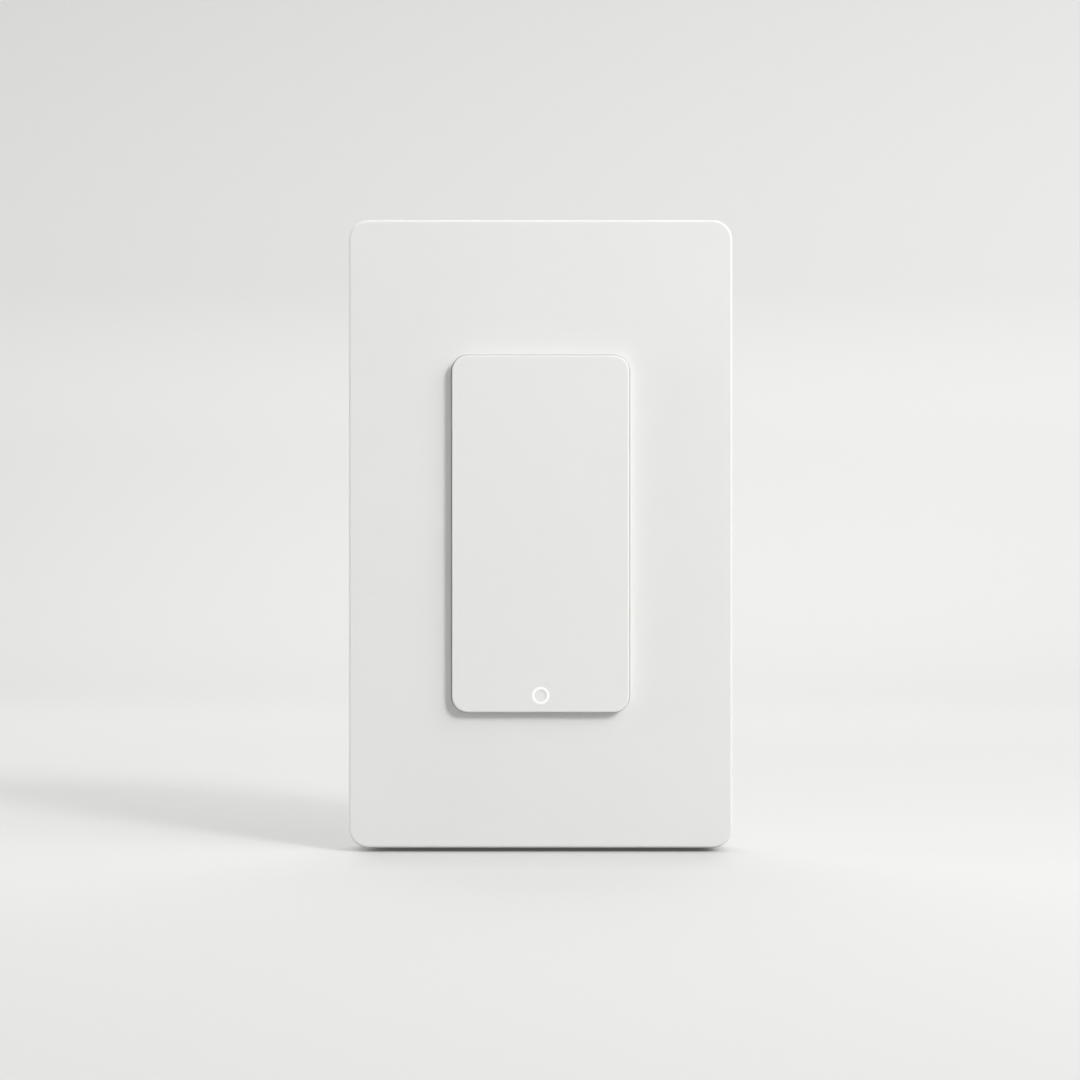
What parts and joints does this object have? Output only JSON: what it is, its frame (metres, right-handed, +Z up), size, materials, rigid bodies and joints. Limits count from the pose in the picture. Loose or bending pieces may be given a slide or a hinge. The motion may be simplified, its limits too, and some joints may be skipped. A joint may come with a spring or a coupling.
{
  "type": "wireless wall switch",
  "caption": "Battery-powered wall switch with a wide paddle, a lit ring and a lift-off wall bracket. Pressing the paddle works a push switch inside.",
  "frame": {"origin": "middle of the wall side, on the wall plane and on the middle of the two screw slots", "axes": "+Z up along the plate's length, +Y into the wall, so the paddle faces -Y"},
  "size_m": [0.0698, 0.0138, 0.1142],
  "materials": {
    "plate_plastic": "satin moulded white",
    "paddle_plastic": "satin moulded white",
    "ring_light": "milky clear, lit from behind",
    "cover_plastic": "fine grained moulded white",
    "bracket_plastic": "fine grained moulded white",
    "dark_plastic": "moulded black",
    "stem_plastic": "moulded dark grey",
    "board_green": "solder mask",
    "led_resin": "clear resin",
    "capacitor_ceramic": "fired ceramic",
    "plated_steel": "bright zinc plate",
    "cell_steel": "nickel plate",
    "spring_steel": "bright spring sheet",
    "antenna_metal": "stamped sheet",
    "soft_rubber": "silicone",
    "pad_foam": "closed-cell foam tape"
  },
  "bodies": {
    "wall_bracket": {"wall_bracket": "bracket_plastic", "adhesive_pad_upper": "pad_foam", "adhesive_pad_lower": "pad_foam"},
    "switch_body": {"front_plate": "plate_plastic", "rear_cover": "cover_plastic", "battery_holder": "dark_plastic", "controller_chip": "dark_plastic", "tact_switch_case": "dark_plastic", "circuit_board": "board_green", "radio_board": "board_green", "status_led": "led_resin", "chip_capacitors": "capacitor_ceramic", "housing_screws": "plated_steel", "board_screws": "plated_steel", "shield_can": "plated_steel", "crystal_can": "plated_steel", "coin_cell": "cell_steel", "return_springs": "spring_steel", "positive_contact": "spring_steel", "negative_contact": "spring_steel", "antenna_strip": "antenna_metal", "stop_pads": "soft_rubber"},
    "paddle": {"paddle": "paddle_plastic", "ring_window": "ring_light", "ring_plug": "paddle_plastic", "click_pad": "soft_rubber"},
    "switch_stem": {"tact_switch_stem": "stem_plastic"},
    "battery_door": {"battery_door": "cover_plastic"}
  },
  "joints": [
    {"name": "body_lift", "type": "slide", "parent": "wall_bracket", "child": "switch_body", "axis": [0, 0, 1], "range_m": [0, 0.005]},
    {"name": "paddle_press", "type": "hinge", "parent": "switch_body", "child": "paddle", "pos_m": [0, -0.0083, 0.0295], "axis": [1, 0, 0], "range_deg": [0, 0.77], "stiffness_Nm_per_rad": 4.2, "springref_deg": -0.5, "deforming": ["return_springs"]},
    {"name": "stem_travel", "type": "slide", "parent": "switch_body", "child": "switch_stem", "axis": [0, 1, 0], "range_m": [0, 0.00035]},
    {"name": "battery_door_turn", "type": "hinge", "parent": "switch_body", "child": "battery_door", "pos_m": [0, -0.0035, 0], "axis": [0, 1, 0], "range_deg": [0, 30]}
  ],
  "couplings": [
    {"joint": "stem_travel", "follows": "paddle_press", "m_per_rad": 0.026}
  ]
}
